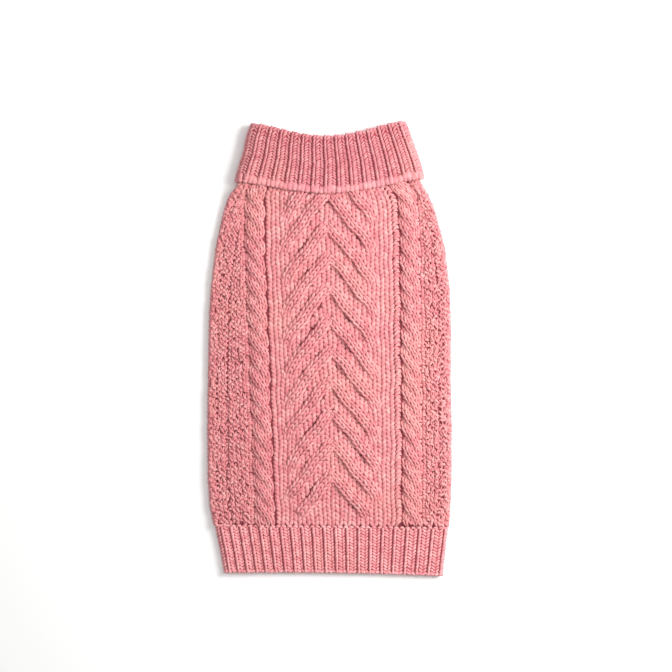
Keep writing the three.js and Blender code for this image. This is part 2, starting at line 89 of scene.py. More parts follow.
# The body's sides and the middle lines of its cables: where each is across, at every y.
BODY = {
    "y": [126, 121, 117, 113, 109.5, 106, 102, 96, 75, 46, 20, -20, -60, -98, -117, -134, -150, -171],
    "left": [-67.2, -69.2, -72.9, -75.4, -76.8, -77.8, -78.8, -80.3, -84.7, -88.2, -89.6, -90.3, -90.8, -90.4,
             -89.2, -85.6, -82.3, -78.6],
    "right": [68.2, 70.8, 73.8, 75.6, 76.9, 78.5, 79.9, 81.4, 87, 90.3, 91.2, 91, 91.8, 91.6, 90.7,
              89.6, 87.7, 85.2],
    "leftRope": [-51, -53, -55, -56, -56, -56, -56, -56, -55.5, -54.8, -53.5, -52, -50.5, -49.3,
                 -48.5, -48, -47.5, -47],
    "centre": [-1, -1, -1, -0.9, -0.8, -0.8, -0.7, -0.6, -0.2, 0.4, 0.9, 1.7, 2.5, 3.2, 3.5, 3.8, 3.9, 4],
    "rightRope": [51.8, 54, 57, 58.8, 59.5, 59.7, 59.9, 60, 61, 61.3, 61.5, 62, 62.4, 62.5, 62.5,
                  62.5, 62.5, 62.5],
}
# The collar's sides and edge, from its fold at fall 0 to its free edge at fall 1.
COLLAR = {
    "fall": [0, 0.25, 0.5, 0.75, 1],
    "left": [-57.8, -61.8, -64, -67.5, -70.8],
    "right": [56.5, 61.5, 65.5, 69, 71.8],
    "yLeft": [170, 158.7, 147.5, 136.5, 125],
    "yRight": [171.8, 160, 149, 138.5, 127.5],
    "sag": [10, 10, 9.9, 9.7, 9.5],
}
# The higher this is, the more the middle of the collar's edge sags and the straighter its ends lie.
COLLAR_BOW = 1.8


def mix(a, b, t):
    return a + (b - a) * t


def ease(t):
    c = np.clip(t, 0, 1)
    return c * c * (3 - 2 * c)


def body_at(y, column):
    return np.interp(y, BODY["y"][::-1], BODY[column][::-1])


def collar_at(fall, column):
    return np.interp(fall, COLLAR["fall"], COLLAR[column])


def collar_edge_y(fall, x):
    left, right = collar_at(fall, "left"), collar_at(fall, "right")
    t = np.clip((x - left) / (right - left), 0, 1)
    bow = (4 * t * (1 - t)) ** COLLAR_BOW
    return mix(collar_at(fall, "yLeft"), collar_at(fall, "yRight"), t) - collar_at(fall, "sag") * bow


def neck_lift(x, y):
    below = collar_edge_y(1, x) - y
    return NECK_LIFT * ease((LIFT_START - below) / (LIFT_START - LIFT_END))


def side_share(x, y):
    return np.clip((x - body_at(y, "left")) / (body_at(y, "right") - body_at(y, "left")), 0, 1)


def hem_top(x):
    return mix(HEM_Y_LEFT, HEM_Y_RIGHT, side_share(x, HEM_Y_LEFT))


def lower_edge(x):
    t = side_share(x, LOWER_Y_LEFT)
    return mix(LOWER_Y_LEFT, LOWER_Y_RIGHT, t) + LOWER_RISE * 4 * t * (1 - t)


# The CAD stands on the middle of its outline, so its own shift is read back from two known edges.
belly_low, belly_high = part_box("belly_panel")
back_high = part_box("back_panel")[1]
SHIFT = np.array([
    (belly_low[0] + belly_high[0]) * MM / 2 - (min(BODY["left"]) + max(BODY["right"])) / 2,
    back_high[1] * MM - NECK_Y,
    0.0,
])
print("the CAD's shift from garment millimetres:", SHIFT.round(3))

# %% [markdown]
# ## Charts
# A chart turns a place in the knitting (across, along, height) into a point in space. The back
# panel's chart is nearly flat. The others run round the laid tube, over its rounded sides and
# back along the underside. A stitch is then the same small shape wherever it is laid.

# %% Charts of the four pieces
def around(s, left, right, low, high, h, plump=0.4):
    """A point s millimetres round a flattened tube, from the left end of its top, h above it.

    plump is how far the loops swell out where the cloth turns round the side."""
    r = (high - low) / 2
    middle = (high + low) / 2
    flat = right - left - 2 * r
    cap = math.pi * r
    s = np.mod(s, 2 * flat + 2 * cap)
    right_turn = np.clip((s - flat) / r, 0, math.pi)
    left_turn = np.clip((s - 2 * flat - cap) / r, 0, math.pi)
    turn = right_turn + left_turn
    nx, nz = np.sin(turn), np.cos(turn)
    h = h + plump * nx ** 2
    along_top = np.clip(s, 0, flat)
    along_under = np.clip(s - flat - cap, 0, flat)
    x = left + r + along_top - along_under + (r + h) * nx
    z = middle + (r + h) * nz
    return x, z


def lengths(left, right, low, high):
    """The lengths of a flattened tube's flat top and of one rounded side."""
    r = (high - low) / 2
    return right - left - 2 * r, math.pi * r


def place_to_length(place, flat, cap):
    """Places 0 to 1 cross the top, 1 to 2 the right side, 2 to 3 the underside, 3 to 4 the left."""
    turn, part = np.floor(place), np.mod(place, 1)
    start = np.select([turn == 0, turn == 1, turn == 2], [0, flat, flat + cap], 2 * flat + cap)
    return start + part * np.where(np.mod(turn, 2) == 0, flat, cap)


def on_back(x, y, h):
    x, y, h = np.broadcast_arrays(x, y, h)
    return np.stack([x, y, BODY_DEPTH + neck_lift(x, y) + h], -1)


def on_belly(s, y, h):
    """s runs from the right seam, on top, round under the belly to the left seam."""
    s, y, h = np.broadcast_arrays(s, y, h)
    left, right = body_at(y, "left"), body_at(y, "right")
    flat = lengths(left, right, 0, BODY_DEPTH)[0]
    x, z = around(s + flat - WRAP, left, right, 0, BODY_DEPTH, h, plump=1.2)
    return np.stack([x, y, z + neck_lift(x, y)], -1)


def belly_width(y):
    flat, cap = lengths(body_at(y, "left"), body_at(y, "right"), 0, BODY_DEPTH)
    return flat + 2 * cap + 2 * WRAP


def on_hem(place, ds, share, h):
    """share runs down the band, from the body at 0 to the lower edge at 1."""
    level = mix(HEM_Y_LEFT, LOWER_Y_LEFT, share)
    left, right = body_at(level, "left"), body_at(level, "right")
    flat, cap = lengths(left, right, 0, BODY_DEPTH)
    x, z = around(place_to_length(place, flat, cap) + ds, left, right, 0, BODY_DEPTH, h)
    y = mix(hem_top(x), lower_edge(x), share)
    return np.stack(np.broadcast_arrays(x, y, z), -1)


# Shares of the collar's fall: where the turn over the fold begins, how far down the tucked part
# reaches, and the last stretch below the fold over which the outside bends to meet it.
FALL_AT_FOLD, TUCK_FALL, FOLD_BLEND = 0.06, 0.9, 0.1


def on_collar(place, ds, t, h):
    """t runs from the free edge at 0, up to the fold at 1, over it, and down inside from 2 to 3."""
    over = np.clip(t - 1, 0, 1) * math.pi
    down = np.clip(t - 2, 0, 1)
    beyond_fold = FALL_AT_FOLD * (1 - np.clip(t - 1, 0, 1)) + down * TUCK_FALL
    fall = np.where(t < 1, 1 - t * (1 - FALL_AT_FOLD), beyond_fold)
    depth = FOLD_RADIUS - (FOLD_RADIUS + h) * np.cos(over)
    left, right = collar_at(fall, "left") + depth, collar_at(fall, "right") - depth
    flat, cap = lengths(left, right, depth, COLLAR_DEPTH - depth)
    x, z = around(place_to_length(place, flat, cap) + ds, left, right, depth, COLLAR_DEPTH - depth, 0)
    fold_y = collar_edge_y(0, x)
    bend = np.clip((t - (1 - FOLD_BLEND)) / FOLD_BLEND, 0, 1)
    outer_y = mix(collar_edge_y(fall, x), fold_y - FOLD_RADIUS, bend)
    over_y = fold_y - FOLD_RADIUS + (FOLD_RADIUS + h) * np.sin(over)
    inner_y = mix(fold_y - FOLD_RADIUS, NECK_Y + SEAM_GAP, down)
    y = np.where(t < 1, outer_y, np.where(t < 2, over_y, inner_y))
    return np.stack(np.broadcast_arrays(x, y, z), -1)


print("round the belly from seam to seam at y 0, mm:", round(float(belly_width(0.0)), 1))

# %% [markdown]
# ## Yarn
# A stitch leg is a short tube, fat in the middle and tucked in at both ends, flattened a
# little where it lies on the cloth. Each keeps two facts for its material: where a point lies
# along and round the yarn, and a small random tint, since no two loops take the light alike.

# %% Yarn tubes
rng = np.random.default_rng(7)
# Thickness of a tube at its five rings: tucked in at both ends, or full nearly to the end.
TAPER = np.array([0.5, 0.93, 1.0, 0.93, 0.5])
FULL = np.array([0.85, 1.0, 1.0, 1.0, 0.85])
# Its rounded tips stand out this far, in mm, and tubes differ in thickness by this share.
TIP, UNEVEN = 0.35, 0.04
# Each tube starts at a random place in the yarn's pattern, within this length in mm.
YARN_START = 50
# The lowest that yarn lies above the floor, in metres.
LOWEST = 0.00005


class Yarn:
    """Gathers tubes of yarn and turns them into one joined mesh."""

    def __init__(self, sides=6):
        self.sides = sides
        self.parts = []

    def lay(self, centres, above, width, thick, taper=TAPER):
        """centres are (tubes, rings, 3); above is the same points a little off the cloth."""
        count, rings = centres.shape[:2]
        if count == 0:
            return
        run = np.gradient(centres, axis=1)
        run /= np.linalg.norm(run, axis=2, keepdims=True) + 1e-9
        up = above - centres
        side = np.cross(run, up)
        side /= np.linalg.norm(side, axis=2, keepdims=True) + 1e-9
        up = np.cross(side, run)
        swing = np.arange(self.sides) * 2 * math.pi / self.sides
        fat = 1 + rng.normal(0, UNEVEN, (count, 1, 1, 1))
        across = side[:, :, None] * (np.cos(swing)[:, None] * np.asarray(width).reshape(-1, 1, 1, 1))
        rise = up[:, :, None] * (np.sin(swing)[:, None] * np.asarray(thick).reshape(-1, 1, 1, 1))
        skin = centres[:, :, None] + (across + rise) * (fat * taper[None, :, None, None])
        tips = np.stack([centres[:, 0] - run[:, 0] * TIP, centres[:, -1] + run[:, -1] * TIP], 1)
        length = np.linalg.norm(np.diff(centres, axis=1), axis=2).sum(1)
        u = np.linspace(0, 1, rings)[None, :, None] * length[:, None, None]
        u = u + np.zeros((count, rings, self.sides)) + rng.uniform(0, YARN_START, (count, 1, 1))
        turn = np.broadcast_to(swing, u.shape)
        self.parts.append((skin, tips, u, turn, rng.uniform(0, 1, count)))

    def tubes(self):
        return sum(len(skin) for skin, *_ in self.parts)

    def mesh(self, name):
        points, quads, tris, strand, tint = [], [], [], [], []
        start = 0
        for skin, tips, u, turn, shade in self.parts:
            count, rings, sides = u.shape
            per = rings * sides + 2
            block = np.concatenate([skin.reshape(count, -1, 3), tips], 1)
            points.append(block.reshape(-1, 3))
            facts = np.stack([u, np.cos(turn), np.sin(turn)], -1).reshape(count, -1, 3)
            ends = np.stack([facts[:, 0] * [1, 0, 0], facts[:, -1] * [1, 0, 0]], 1)
            strand.append(np.concatenate([facts, ends], 1).reshape(-1, 3))
            tint.append(np.repeat(shade, per))
            i, j = np.meshgrid(np.arange(rings - 1), np.arange(sides), indexing="ij")
            a, b = i * sides + j, i * sides + (j + 1) % sides
            quad = np.stack([a, b, b + sides, a + sides], -1).reshape(-1, 4)
            k = np.arange(sides)
            last = (rings - 1) * sides
            low = np.stack([np.full(sides, per - 2), (k + 1) % sides, k], -1)
            high = np.stack([np.full(sides, per - 1), last + k, last + (k + 1) % sides], -1)
            base = start + np.arange(count)[:, None, None] * per
            quads.append((base + quad).reshape(-1, 4))
            tris.append((base + np.concatenate([low, high])).reshape(-1, 3))
            start += count * per
        made = bpy.data.meshes.new(name)
        points = (np.concatenate(points) + SHIFT) * METRES
        # Yarn flattens where the garment rests.
        points[:, 2] = np.maximum(points[:, 2], LOWEST)
        faces = np.concatenate(quads).tolist() + np.concatenate(tris).tolist()
        made.from_pydata(points.tolist(), [], faces)
        made.attributes.new("strand", "FLOAT_VECTOR", "POINT").data.foreach_set(
            "vector", np.concatenate(strand).ravel().astype(np.float32))
        made.attributes.new("tint", "FLOAT", "POINT").data.foreach_set(
            "value", np.concatenate(tint).astype(np.float32))
        made.shade_smooth()
        piece = bpy.data.objects.new(name, made)
        bpy.context.scene.collection.objects.link(piece)
        triangles = 2 * sum(map(len, quads)) + sum(map(len, tris))
        print(f"{name}: {start} points, {triangles} triangles")
        return piece


# One knit leg from foot to head: its lean as a share of its sweep, its place along as a share of
# the course, and its depth in mm. Both ends dive under the neighbouring loops.
LEG_SWEEP = np.array([-0.55, -0.26, 0.06, 0.32, 0.45])
LEG_ALONG = np.array([-0.66, -0.32, 0.04, 0.42, 0.80])
LEG_DEPTH = np.array([-1.0, -0.28, 0.0, -0.16, -0.95])
# One purl bump: a short bar that bows up in its middle.
BAR_ACROSS = np.array([-0.46, -0.26, 0.0, 0.26, 0.46])
BAR_ALONG = np.array([-0.26, 0.13, 0.27, 0.13, -0.26])
BAR_DEPTH = np.array([-0.9, -0.1, 0.15, -0.1, -0.9])
# How far legs and bars stray from their place, in mm: across and in depth, and along.
LEG_STRAY, LEG_STRAY_ALONG = 0.07, 0.12
BAR_STRAY, BAR_STRAY_ALONG = 0.08, 0.1
# The middle of a V's leg lies this share of the wale out, and it sweeps this share across.
V_OUT, V_SWEEP = 0.245, 0.38


def jitter(count, size):
    return rng.normal(0, size, (count, 1))


def legs(yarn, chart, across, along, centre, sweep, height, sink, width, thick, upward=1, taper=TAPER):
    """Lays single legs: chart takes (across, along, offset across, offset along, height)."""
    n = len(across)
    column = [np.broadcast_to(v, n)[:, None] for v in (across, along, centre, sweep, height, sink)]
    across, along, centre, sweep, height, sink = column
    da = centre + LEG_SWEEP * sweep + jitter(n, LEG_STRAY)
    dl = upward * LEG_ALONG * height + jitter(n, LEG_STRAY_ALONG)
    dh = LEG_DEPTH - sink + jitter(n, LEG_STRAY)
    above = chart(across, along, da, dl, dh + 0.5)
    yarn.lay(chart(across, along, da, dl, dh), above, width, thick, taper)


def knit(yarn, chart, across, along, wale, height, sink, thick, upward=1, fat=0.25):
    """Lays V stitches, each a left and a right leg."""
    for side in (-1, 1):
        legs(yarn, chart, across, along, side * V_OUT * wale, side * V_SWEEP * wale, height, sink,
             fat * wale, thick, upward)


def bars(yarn, chart, across, along, width, height, sink, thick, bow=1.0, fat=0.30, tilt=0.0):
    """Lays purl bumps in the same way; tilt lifts a bar's right end, in mm."""
    n = len(across)
    column = [np.broadcast_to(v, n)[:, None] for v in (across, along, width, height, sink)]
    across, along, width, height, sink = column
    da = BAR_ACROSS * width + jitter(n, BAR_STRAY)
    dl = bow * BAR_ALONG * height + BAR_ACROSS * tilt + jitter(n, BAR_STRAY_ALONG)
    dh = BAR_DEPTH - sink + jitter(n, BAR_STRAY)
    above = chart(across, along, da, dl, dh + 0.5)
    yarn.lay(chart(across, along, da, dl, dh), above, fat * height[:, 0], thick)


# %% [markdown]
# ## The back panel's layout
# From left to right the panel has moss stitch, a rope cable, plain knit, nested chevron
# cables in the middle, plain knit again, a purl gutter, a second rope and moss stitch. The
# plain columns run straight through from the collar to the hem, behind the chevrons.

# %% Plain columns of the back
# How deep the plain legs lie and how thick they are, and the height of one row.
YARN_SINK = 1.15
LEG_THICK = 1.15
COURSE = 3.27
CENTRE_WALES = 14
# Widths left free beside the ropes: the gutter at the right and a narrow groove at the left.
GUTTER = 5.6
ROPE_GROOVE = 1.0
# Plain stitches stay this far from an arm's middle, and the arms stay this far above the hem.
RIDGE_CLEAR = 3.2
ARM_LOWEST = 10.0
# Yarn sunk deeper than this would show through on the panel's inside.
DEEPEST = -2.05
# The pulled line beside an arm: its depth, its distance from the arm's middle and its width,
# then the depth at the left arms, and how far and at what length the line waves.
ARM_DIP, ARM_DIP_BELOW, ARM_DIP_WIDTH = 1.1, 7.6, 1.5
LEFT_DIP, DIP_WAVE, DIP_WAVE_LENGTH = 2.1, 1.0, 11.0


def centre_left(y):
    return body_at(y, "leftRope") + ROPE_HALF + ROPE_GROOVE


def centre_right(y):
    return body_at(y, "rightRope") - ROPE_HALF - GUTTER


def no_dip(x, y):
    return 0.0


def wander(x, y):
    """Laid knitting is never quite straight; its columns stray by half a millimetre."""
    slow = 0.35 * np.sin(y / 8.5 + x / 13)
    quick = 0.3 * np.sin(y / 4.1 - x / 7 + 1)
    return slow + quick


def back_chart(line, dip=no_dip):
    """Stitch offsets are taken across and along from a line that runs down the panel."""
    def chart(column, y, da, dl, dh):
        x = line(column, y + dl) + da
        x = x + wander(x, y + dl)
        return on_back(x, y + dl, np.maximum(dh - dip(x, y + dl), DEEPEST))
    return chart


def centre_line(column, y):
    return mix(centre_left(y), centre_right(y), (column + 0.5) / CENTRE_WALES)


def chevron_offset(x, y):
    """Height above the nearest arm's middle, measured along the garment, and the arm's turn."""
    across = np.abs(x - body_at(y, "centre"))
    fallen = CHEVRON_TOP_Y - CHEVRON_SLOPE * across - y
    turn = np.minimum(np.round(fallen / CHEVRON_PITCH), CHEVRON_LAST)
    return turn * CHEVRON_PITCH - fallen, turn, across


def arm_dip(x, y):
    """The plain knit is pulled down in a narrow line along each arm's left-hand edge.
    The left arms pull harder and less evenly than the right ones."""
    offset, turn, across = chevron_offset(x, y)
    near = ease((CHEVRON_REACH - 1 - across) / 6) * ease((y - hem_top(x) - ARM_LOWEST) / 6)
    right = x > body_at(y, "centre")
    wave = DIP_WAVE * np.sin(across * 2 * math.pi / DIP_WAVE_LENGTH + turn)
    beyond = offset + wave + np.where(right, ARM_DIP_BELOW, -ARM_DIP_BELOW)
    right_depth = ARM_DIP * (0.6 + 0.6 * np.cos(across / 2.9 + turn))
    left_depth = LEFT_DIP * ease((across - 5) / 4) * ease((27 - across) / 6)
    depth = np.where(right, right_depth, left_depth)
    return depth * np.exp(-(beyond / ARM_DIP_WIDTH) ** 2) * near


def settle(x, y):
    """Rows of stitches bend over the last 60 mm to run along the hem's slanting join."""
    return y + (hem_top(x) - HEM_Y_RIGHT) * np.clip(1 - (y - HEM_Y_RIGHT) / 60, 0, 1)


def shown(x, y, margin=0.0):
    """True where the cloth isn't under the collar and lies above the hem band."""
    return (y < collar_edge_y(1, x) + 1.0 - margin) & (y > hem_top(x) + 1.2)


rows = np.arange(int((NECK_Y - HEM_Y_RIGHT) / COURSE) + 1)
row_y = HEM_Y_RIGHT + 2.6 + rows * COURSE
columns, ys = np.meshgrid(np.arange(CENTRE_WALES), row_y, indexing="ij")
columns, ys = columns.ravel(), ys.ravel()
ys = settle(centre_line(columns, ys), ys)
xs = centre_line(columns, ys)
offset, turn, across = chevron_offset(xs, ys)
under_arm = (np.abs(offset) < RIDGE_CLEAR) & (across < CHEVRON_REACH - 5)
under_arm &= ys > hem_top(xs) + ARM_LOWEST + 4
keep = shown(xs, ys) & ~under_arm
wale = (centre_right(ys) - centre_left(ys)) / CENTRE_WALES
plain = Yarn()
knit(plain, back_chart(centre_line, arm_dip), columns[keep], ys[keep], wale[keep], COURSE,
     YARN_SINK, LEG_THICK)
print("plain stitches on the back:", int(keep.sum()))

# %% [markdown]
# ## Chevron cables
# Each chevron is two raised arms that fall away from the middle. An arm is two columns of
# stitches that travel across the plain knit, so its Vs point along the arm. The arm bends down
# and sinks into the plain columns at its outer end.

# %% Chevron arms
# One stitch along an arm and one across it.
ARM_STEP = 4.15
ARM_WALE = 4.3
# How steeply an arm falls at its start, along its run and at its foot, in degrees.
ARM_START, ARM_MAIN, ARM_END = 30.0, 52.0, 80.0
# The length over which its foot bends down, and the step between points on its path.
ARM_FOOT, PATH_STEP = 13, 0.25
# How far its heading wanders, in degrees, and how much it swells along its run.
ARM_WANDER, ARM_SWELL = 5.5, 0.27


def arm_path(turn, side):
    """Points along one arm, with the heading in radians below the horizontal at each."""
    length = CHEVRON_REACH / math.cos(math.radians(ARM_MAIN)) + 3.0
    s = np.arange(0, length, PATH_STEP)
    heading = np.radians(ARM_MAIN + (ARM_START - ARM_MAIN) * np.exp(-s / 4)
                         + (ARM_END - ARM_MAIN) * ease((s - (length - ARM_FOOT)) / ARM_FOOT)
                         + ARM_WANDER * (np.sin(s / 5.5 + turn * 2.3 + side) + np.sin(s / 2.7 + turn * 1.7)))
    x = np.cumsum(np.cos(heading)) * PATH_STEP
    y = CHEVRON_TOP_Y - turn * CHEVRON_PITCH - np.cumsum(np.sin(heading)) * PATH_STEP
    return s, side * x + body_at(y, "centre"), y, heading, length


def arm_chart(turn, side):
    s, px, py, heading, length = arm_path(turn, side)

    def chart(column, along, da, dl, dh):
        t = np.clip(along - dl, 0, length)
        o = (column - 0.5) * ARM_WALE + da
        a = np.interp(t, s, heading)
        x = np.interp(t, s, px) + side * o * np.sin(a)
        y = np.interp(t, s, py) + o * np.cos(a)
        dome = 1 - 0.4 * ((o + 0.6) / ARM_WALE) ** 2 + ARM_SWELL * np.sin(t / 3.1 + turn * 1.9 + side)
        fade = ease((length - t) / 14) * ease((y - hem_top(x) - 5) / 10) * mix(0.4, 1, ease((t - 1) / 9))
        return on_back(x, y, dh + (CHEVRON_HEIGHT - 0.1) * dome * fade)
    return chart, length, (s, px, py)


arms = Yarn()
for turn in range(-2, CHEVRON_LAST + 1):
    for side in (-1, 1):
        chart, length, (s, px, py) = arm_chart(turn, side)
        steps = np.arange(0.6, length - 1.5, ARM_STEP) + rng.uniform(-0.3, 0.3)
        column, along = [g.ravel() for g in np.meshgrid([0, 1], steps, indexing="ij")]
        x, y = np.interp(along, s, px), np.interp(along, s, py)
        keep = (y < collar_edge_y(1, x) + 1.5) & (y > hem_top(x) + ARM_LOWEST)
        if keep.any():
            knit(arms, chart, column[keep], along[keep], ARM_WALE, ARM_STEP, 1.05, 1.1, fat=0.262)
print("legs in the chevron arms:", arms.tubes())

# %% [markdown]
# ## Rope cables
# A rope is two strands that cross over each other at a steady pitch. A strand comes out from
# under the last crossing at the left, swings over the middle in front, and dives under the next
# one at the right. Both ropes twist the same way, as on the real back.

# %% Ropes
# How far a strand swings out from the rope's middle, and the share of a pitch that it takes.
STRAND_SWING, STRAND_CROSSING = 4.0, 0.75
# One stitch across a strand and one along it.
STRAND_WALE = 3.7
STRAND_STEP = 3.7
# A strand's height in front, how deep it dives and how round its back is.
STRAND_RISE, STRAND_DIVE, STRAND_ROUND = 2.1, 2.9, 1.4


def strand_turn(strand, down):
    """-1 where a strand comes out at the left, 0 where it crosses in front, 1 where it dives."""
    return np.clip(down / ROPE_PITCH - strand, -1.15, 1.15)


def rope_chart(line):
    def chart(column, along, da, dl, dh):
        down = along - dl
        strand, half = np.floor(column / 2), np.mod(column, 2)
        turn = strand_turn(strand, down)
        o = (half - 0.5) * STRAND_WALE + da
        phase = math.pi / 2 * turn / STRAND_CROSSING
        lean = np.arctan(STRAND_SWING * math.pi / 2 / (STRAND_CROSSING * ROPE_PITCH) * np.cos(phase))
        y = NECK_Y - down + o * np.sin(lean)
        x = body_at(y, line) + STRAND_SWING * np.sin(phase) + o * np.cos(lean)
        x = x + wander(x, y)
        dome = STRAND_RISE - STRAND_DIVE * turn ** 2 - STRAND_ROUND * (o / STRAND_WALE) ** 2
        return on_back(x, y, dh + dome)
    return chart


ropes = Yarn()
crossings = np.arange(int((NECK_Y - HEM_Y_LEFT) / ROPE_PITCH) + 2)
for line in ("leftRope", "rightRope"):
    for strand in crossings:
        steps = strand * ROPE_PITCH + np.arange(-ROPE_PITCH, ROPE_PITCH, STRAND_STEP)
        half, down = [g.ravel() for g in np.meshgrid([0, 1], steps, indexing="ij")]
        keep = (down > 0) & shown(body_at(NECK_Y - down, line), NECK_Y - down - 0.4, -2.5)
        if keep.any():
            knit(ropes, rope_chart(line), half[keep] + 2 * strand, down[keep], STRAND_WALE,
                 STRAND_STEP * 1.08, 1.0, 1.1, fat=0.262)
print("legs in the ropes:", ropes.tubes())

# %% [markdown]
# ## Moss stitch, gutter and seams
# Moss stitch alternates knit and purl, so its purl bumps form a checkerboard. The gutter is one
# column of purl, seen as a ladder of bars, and a narrower ladder runs down each rope's outer
# side. The side seams show as a row of small dark holes between short bars of sewing yarn.

# %% Moss stitch and gutter
MOSS_COURSE = 3.65
PURL_COLUMN = 2.9
# Columns in each moss panel, left and right.
MOSS_WALES = {-1: 8, 1: 4}
SEAM_CLEAR = 0.7
# How far a bump strays along, in mm, across, in wales, in depth, and in the lift of its right end.
MOSS_ALONG, MOSS_ACROSS, MOSS_DEPTH, MOSS_TILT = 0.5, 0.1, 0.3, 2.3
# How deep the Vs and the bumps lie.
MOSS_V_SINK, MOSS_BUMP_SINK = 1.35, 0.72
# Distances of the two lines of holes from their seams, their depth and half their width.
LEFT_HOLES, RIGHT_HOLES, HOLE_DIP, HOLE_WIDTH = 8.1, 2.6, 1.8, 0.9


def seam_left(y):
    return body_at(y, "left") + BODY_DEPTH / 2 + WRAP


def seam_right(y):
    return body_at(y, "right") - BODY_DEPTH / 2 - WRAP


def moss_line(side, wales):
    def line(column, y):
        if side < 0:
            low, high = seam_left(y) + SEAM_CLEAR, body_at(y, "leftRope") - ROPE_HALF - PURL_COLUMN
        else:
            low, high = body_at(y, "rightRope") + ROPE_HALF + PURL_COLUMN, seam_right(y) - SEAM_CLEAR
        return mix(low, high, (column + 0.5) / wales)
    return line


def moss_stitch(yarn, chart, column, y, width, sink=0.0):
    """A purl bump in every place, with a sunken V between it and the next."""
    y = y + rng.normal(0, MOSS_ALONG, len(y))
    column = column + rng.normal(0, MOSS_ACROSS, len(y))
    sink = sink + rng.uniform(-MOSS_DEPTH, MOSS_DEPTH, len(y))
    knit(yarn, chart, column, y + MOSS_COURSE / 2, width, MOSS_COURSE * 0.66, MOSS_V_SINK + sink, 0.95,
         fat=0.27)
    tilt = jitter(len(y), MOSS_TILT)
    bars(yarn, chart, column, y, width * rng.uniform(0.8, 1.1, len(y)), MOSS_COURSE,
         MOSS_BUMP_SINK + sink, 1.1, bow=0.5, fat=0.31, tilt=tilt)


def moss_dip(x, y):
    """One column of each moss panel is worked tighter and shows as a line of holes."""
    left, right = x - seam_left(y) - LEFT_HOLES, x - seam_right(y) + RIGHT_HOLES
    holes = np.exp(-(left / HOLE_WIDTH) ** 2) + np.exp(-(right / HOLE_WIDTH) ** 2)
    return HOLE_DIP * holes * (0.75 + 0.25 * np.sin(1.9 * y))


moss = Yarn(sides=5)
moss_rows = np.arange(HEM_Y_RIGHT + 1.3, NECK_Y, MOSS_COURSE)
for side, wales in MOSS_WALES.items():
    line = moss_line(side, wales)
    column, y = [g.ravel() for g in np.meshgrid(np.arange(wales), moss_rows, indexing="ij")]
    y = settle(line(column, y), y + (column % 2) * MOSS_COURSE / 2)
    width = (line(wales - 0.5, y) - line(-0.5, y)) / wales
    ok = shown(line(column, y), y + 0.6)
    moss_stitch(moss, back_chart(line, moss_dip), column[ok], y[ok], width[ok])


def ladder(yarn, line, width, course, sink, tilt=0.0, uneven=0.5, under=0.0, **shape):
    """One column of purl bars down the panel; uneven varies the lie of the bars, in mm,
    and under sinks a second set of bars below the gaps between the first."""
    y = np.arange(HEM_Y_RIGHT + 2.4, NECK_Y, course)
    y = y + rng.normal(0, 0.2 + 0.15 * uneven, len(y))
    y = settle(line(0, y), y)
    y = y[shown(line(0, y), y)]
    if under:
        bars(yarn, back_chart(line), y * 0, y + course / 2, width, course, sink + under, 1.05, **shape)
    width = width * rng.uniform(1.05 - 0.2 * uneven, 1.05, len(y))
    sink = sink + rng.uniform(-0.25, 0.25, len(y)) * uneven
    bars(yarn, back_chart(line), y * 0, y, width, course, sink, 1.05,
         tilt=tilt + jitter(len(y), uneven), **shape)


def beside(rope, offset):
    return lambda column, y: body_at(y, rope) + offset


ladder(moss, beside("rightRope", -ROPE_HALF - GUTTER / 2 - 0.1), 5.2, COURSE, 1.1,
       bow=1.0, fat=0.37, tilt=2.4, uneven=0.9, under=1.0)
outer_column = ROPE_HALF + PURL_COLUMN / 2
for rope, offset, width, sink, tilt in (("leftRope", -outer_column, 3.5, 1.45, 1.0),
                                        ("rightRope", outer_column, 3.4, 1.5, -0.8)):
    ladder(moss, beside(rope, offset), width, COURSE, sink, bow=0.8, fat=0.38, tilt=tilt, uneven=1.1,
           under=0.8)
# Deeper bars close the hollows where a rope's strands dive.
for rope, side, inset, sink in (("leftRope", -1, 1.5, 1.9), ("leftRope", 1, 2.3, 2.2),
                                ("rightRope", -1, 2.3, 1.9), ("rightRope", 1, 1.5, 1.7)):
    ladder(moss, beside(rope, side * (ROPE_HALF - inset)), 3.8, COURSE, sink, bow=0.4, fat=0.42)
SEAM_STITCH = 3.7
for seam in (seam_left, seam_right):
    ladder(moss, lambda column, y: seam(y), 3.4, SEAM_STITCH, 1.3, bow=0.6, fat=0.31, tilt=1.0)
print("legs and bars in the moss stitch, ladders and seams:", moss.tubes())

# %% [markdown]
# ## The belly
# The belly is plain knit. It starts at the right seam on top, turns round the side, crosses
# under and comes back up to the left seam. Its stitches leave the two leg openings free.

# %% Belly stitches
BELLY_WALES = 31
BELLY_COURSE = 3.4
# Plain knit stays this far back from a leg opening, whose edge has a ring of short stitches.
LEG_CLEAR = 3.6
LEG_EDGE_STITCHES, LEG_EDGE_OUT, LEG_EDGE_HEIGHT = 44, 1.3, 1.2


def belly_chart(column, y, da, dl, dh):
    level = y + dl
    return on_belly(belly_width(level) * (column + 0.5) / BELLY_WALES + da, level, dh)


def in_leg_opening(points, grow):
    across = (np.abs(points[..., 0]) - LEG_X) / (LEG_HALF_WIDTH + grow)
    along = (points[..., 1] - LEG_Y) / (LEG_HALF_LENGTH + grow)
    return (across ** 2 + along ** 2 < 1) & (points[..., 2] < PANEL_WALL)


